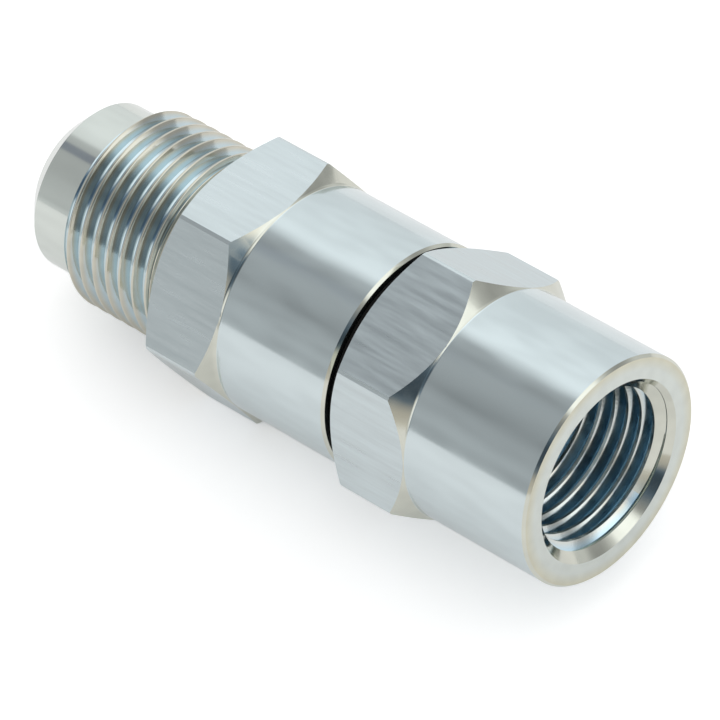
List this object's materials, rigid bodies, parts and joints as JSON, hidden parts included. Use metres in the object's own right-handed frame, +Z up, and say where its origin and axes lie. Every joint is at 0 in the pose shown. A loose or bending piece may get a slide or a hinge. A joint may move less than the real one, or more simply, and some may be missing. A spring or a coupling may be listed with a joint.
{
  "type": "fuel non-return valve",
  "caption": "Inline check valve for fuel: hexagon-bar body with a flared male end, screwed adapter with a threaded port, and a sprung soft-seated poppet inside.",
  "frame": {"origin": "on the valve's axis, midway between the tip of the male end and the face of the female port", "axes": "+X along the axis towards the female port, +Z up with one flat of the body's hexagon facing straight down"},
  "size_m": [0.0628, 0.0252, 0.025],
  "materials": {
    "plated_steel": "bright zinc plating with clear blue passivation, over fine turning marks and drawn hexagon flats",
    "turned_steel": "fine turned stainless steel",
    "spring_wire": "drawn stainless spring wire",
    "bearing_bronze": "fine turned bearing bronze",
    "black_rubber": "satin moulded fuel-resistant rubber"
  },
  "bodies": {
    "housing": {"valve_body": "plated_steel", "end_adapter": "plated_steel", "body_seal": "black_rubber", "valve_spring": "spring_wire", "stem_guide": "turned_steel", "guide_bush": "bearing_bronze"},
    "poppet_assembly": {"poppet": "turned_steel", "poppet_seal": "black_rubber", "seal_retainer": "turned_steel"}
  },
  "joints": [
    {"name": "poppet_lift", "type": "slide", "parent": "housing", "child": "poppet_assembly", "axis": [-1, 0, 0], "range_m": [0, 0.003], "stiffness_N_per_m": 300, "springref_m": -0.0025, "deforming": ["valve_spring"]}
  ]
}
